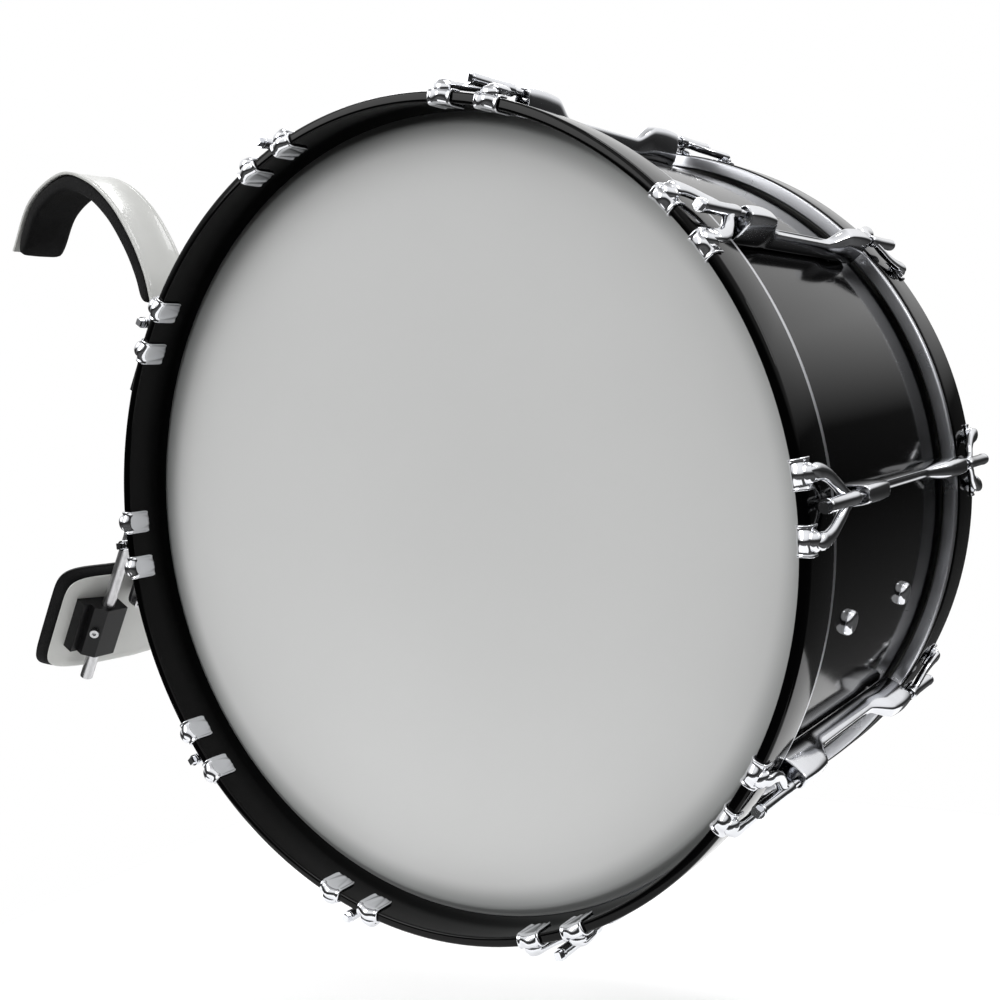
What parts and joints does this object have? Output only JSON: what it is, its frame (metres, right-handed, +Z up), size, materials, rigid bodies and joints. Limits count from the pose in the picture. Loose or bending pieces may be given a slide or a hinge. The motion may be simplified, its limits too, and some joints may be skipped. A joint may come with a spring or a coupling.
{
  "type": "marching bass drum",
  "caption": "Marching bass drum with wooden shell, two heads, hoops, lugs, claws and tension rods, on a hinged over-shoulder carrier with a belly plate.",
  "frame": {"origin": "midway between the shoulder pads, at the crown of their undersides", "axes": "+Z up, +Y along the drum's axis towards the rear head, +X from the wearer towards the drum"},
  "size_m": [0.9313, 0.3928, 0.673],
  "materials": {
    "black_lacquer": "gloss lacquer",
    "drum_film": "smooth satin",
    "bare_aluminium": "satin",
    "chrome_plate": "polished",
    "steel_fastener": "plain",
    "black_plate": "satin powder coat",
    "brushed_tube": "brushed",
    "grey_plate": "satin",
    "black_foam": "closed-cell foam with a knitted face",
    "black_plastic": "satin",
    "white_nylon": "satin"
  },
  "bodies": {
    "carrier_frame": {"cross_plate": "black_plate", "spine_plate": "black_plate", "knuckle_bracket": "black_plate", "tube_front": "brushed_tube", "tube_rear": "brushed_tube", "tube_caps": "black_plastic", "tube_saddles": "black_plastic", "strap_guides": "black_plastic", "frame_bolts": "steel_fastener"},
    "drum": {"shell": "black_lacquer", "head_front": "drum_film", "head_rear": "drum_film", "flesh_hoop_front": "bare_aluminium", "flesh_hoop_rear": "bare_aluminium", "counterhoop_front": "black_lacquer", "counterhoop_rear": "black_lacquer", "lugs": "chrome_plate", "lug_screws": "steel_fastener", "swivel_nuts": "steel_fastener", "claws_front": "chrome_plate", "claws_rear": "chrome_plate", "spare_mount_bolts": "chrome_plate", "mount_bolts": "chrome_plate", "mount_nuts": "steel_fastener", "backing_plates": "black_plate", "vent_grommet": "chrome_plate", "shell_bracket": "black_plate", "hinge_pin": "steel_fastener"},
    "belly_unit": {"belly_plate": "grey_plate", "belly_pad": "black_foam", "tube_sliders": "black_plastic", "belly_glides": "white_nylon"},
    "strap_front": {"shoulder_strap_front": "grey_plate", "shoulder_pad_front": "black_foam"},
    "strap_rear": {"shoulder_strap_rear": "grey_plate", "shoulder_pad_rear": "black_foam"},
    "thumb_front": {"thumb_screw_front": "black_plastic"},
    "thumb_rear": {"thumb_screw_rear": "black_plastic"},
    "clamp_front": {"clamp_screw_front": "steel_fastener"},
    "clamp_rear": {"clamp_screw_rear": "steel_fastener"},
    "rod_front_01": {"tension_rod_front_01": "chrome_plate"},
    "rod_front_02": {"tension_rod_front_02": "chrome_plate"},
    "rod_front_03": {"tension_rod_front_03": "chrome_plate"},
    "rod_front_04": {"tension_rod_front_04": "chrome_plate"},
    "rod_front_05": {"tension_rod_front_05": "chrome_plate"},
    "rod_front_06": {"tension_rod_front_06": "chrome_plate"},
    "rod_front_07": {"tension_rod_front_07": "chrome_plate"},
    "rod_front_08": {"tension_rod_front_08": "chrome_plate"},
    "rod_front_09": {"tension_rod_front_09": "chrome_plate"},
    "rod_front_10": {"tension_rod_front_10": "chrome_plate"},
    "rod_rear_01": {"tension_rod_rear_01": "chrome_plate"},
    "rod_rear_02": {"tension_rod_rear_02": "chrome_plate"},
    "rod_rear_03": {"tension_rod_rear_03": "chrome_plate"},
    "rod_rear_04": {"tension_rod_rear_04": "chrome_plate"},
    "rod_rear_05": {"tension_rod_rear_05": "chrome_plate"},
    "rod_rear_06": {"tension_rod_rear_06": "chrome_plate"},
    "rod_rear_07": {"tension_rod_rear_07": "chrome_plate"},
    "rod_rear_08": {"tension_rod_rear_08": "chrome_plate"},
    "rod_rear_09": {"tension_rod_rear_09": "chrome_plate"},
    "rod_rear_10": {"tension_rod_rear_10": "chrome_plate"}
  },
  "joints": [
    {"name": "drum_swing", "type": "hinge", "parent": "carrier_frame", "child": "drum", "pos_m": [0.0934, 0, -0.23448], "axis": [0, 1, 0], "range_deg": [-5, 34]},
    {"name": "belly_slide", "type": "slide", "parent": "carrier_frame", "child": "belly_unit", "axis": [0.5592, 0, 0.829], "range_m": [-0.02, 0.06]},
    {"name": "strap_slide_front", "type": "slide", "parent": "carrier_frame", "child": "strap_front", "axis": [0.5592, 0, 0.829], "range_m": [0, 0.04]},
    {"name": "strap_slide_rear", "type": "slide", "parent": "carrier_frame", "child": "strap_rear", "axis": [0.5592, 0, 0.829], "range_m": [0, 0.04]},
    {"name": "thumb_turn_front", "type": "hinge", "parent": "carrier_frame", "child": "thumb_front", "pos_m": [0.09056, -0.118, -0.1815], "axis": [0.829, 0, -0.5592], "continuous": true},
    {"name": "thumb_turn_rear", "type": "hinge", "parent": "carrier_frame", "child": "thumb_rear", "pos_m": [0.09056, 0.118, -0.1815], "axis": [0.829, 0, -0.5592], "continuous": true},
    {"name": "clamp_turn_front", "type": "hinge", "parent": "belly_unit", "child": "clamp_front", "pos_m": [-0.10969, -0.085, -0.43724], "axis": [0.5862, -0.7071, -0.3954], "continuous": true},
    {"name": "clamp_turn_rear", "type": "hinge", "parent": "belly_unit", "child": "clamp_rear", "pos_m": [-0.10969, 0.085, -0.43724], "axis": [0.5862, 0.7071, -0.3954], "continuous": true},
    {"name": "rod_turn_front_01", "type": "hinge", "parent": "drum", "child": "rod_front_01", "pos_m": [0.51274, -0.15, -0.02796], "axis": [0, -1, 0], "continuous": true},
    {"name": "rod_turn_front_02", "type": "hinge", "parent": "drum", "child": "rod_front_02", "pos_m": [0.67574, -0.15, -0.14638], "axis": [0, -1, 0], "continuous": true},
    {"name": "rod_turn_front_03", "type": "hinge", "parent": "drum", "child": "rod_front_03", "pos_m": [0.738, -0.15, -0.338], "axis": [0, -1, 0], "continuous": true},
    {"name": "rod_turn_front_04", "type": "hinge", "parent": "drum", "child": "rod_front_04", "pos_m": [0.67574, -0.15, -0.52962], "axis": [0, -1, 0], "continuous": true},
    {"name": "rod_turn_front_05", "type": "hinge", "parent": "drum", "child": "rod_front_05", "pos_m": [0.51274, -0.15, -0.64804], "axis": [0, -1, 0], "continuous": true},
    {"name": "rod_turn_front_06", "type": "hinge", "parent": "drum", "child": "rod_front_06", "pos_m": [0.31126, -0.15, -0.64804], "axis": [0, -1, 0], "continuous": true},
    {"name": "rod_turn_front_07", "type": "hinge", "parent": "drum", "child": "rod_front_07", "pos_m": [0.14826, -0.15, -0.52962], "axis": [0, -1, 0], "continuous": true},
    {"name": "rod_turn_front_08", "type": "hinge", "parent": "drum", "child": "rod_front_08", "pos_m": [0.086, -0.15, -0.338], "axis": [0, -1, 0], "continuous": true},
    {"name": "rod_turn_front_09", "type": "hinge", "parent": "drum", "child": "rod_front_09", "pos_m": [0.14826, -0.15, -0.14638], "axis": [0, -1, 0], "continuous": true},
    {"name": "rod_turn_front_10", "type": "hinge", "parent": "drum", "child": "rod_front_10", "pos_m": [0.31126, -0.15, -0.02796], "axis": [0, -1, 0], "continuous": true},
    {"name": "rod_turn_rear_01", "type": "hinge", "parent": "drum", "child": "rod_rear_01", "pos_m": [0.51274, 0.15, -0.02796], "axis": [0, 1, 0], "continuous": true},
    {"name": "rod_turn_rear_02", "type": "hinge", "parent": "drum", "child": "rod_rear_02", "pos_m": [0.67574, 0.15, -0.14638], "axis": [0, 1, 0], "continuous": true},
    {"name": "rod_turn_rear_03", "type": "hinge", "parent": "drum", "child": "rod_rear_03", "pos_m": [0.738, 0.15, -0.338], "axis": [0, 1, 0], "continuous": true},
    {"name": "rod_turn_rear_04", "type": "hinge", "parent": "drum", "child": "rod_rear_04", "pos_m": [0.67574, 0.15, -0.52962], "axis": [0, 1, 0], "continuous": true},
    {"name": "rod_turn_rear_05", "type": "hinge", "parent": "drum", "child": "rod_rear_05", "pos_m": [0.51274, 0.15, -0.64804], "axis": [0, 1, 0], "continuous": true},
    {"name": "rod_turn_rear_06", "type": "hinge", "parent": "drum", "child": "rod_rear_06", "pos_m": [0.31126, 0.15, -0.64804], "axis": [0, 1, 0], "continuous": true},
    {"name": "rod_turn_rear_07", "type": "hinge", "parent": "drum", "child": "rod_rear_07", "pos_m": [0.14826, 0.15, -0.52962], "axis": [0, 1, 0], "continuous": true},
    {"name": "rod_turn_rear_08", "type": "hinge", "parent": "drum", "child": "rod_rear_08", "pos_m": [0.086, 0.15, -0.338], "axis": [0, 1, 0], "continuous": true},
    {"name": "rod_turn_rear_09", "type": "hinge", "parent": "drum", "child": "rod_rear_09", "pos_m": [0.14826, 0.15, -0.14638], "axis": [0, 1, 0], "continuous": true},
    {"name": "rod_turn_rear_10", "type": "hinge", "parent": "drum", "child": "rod_rear_10", "pos_m": [0.31126, 0.15, -0.02796], "axis": [0, 1, 0], "continuous": true}
  ]
}
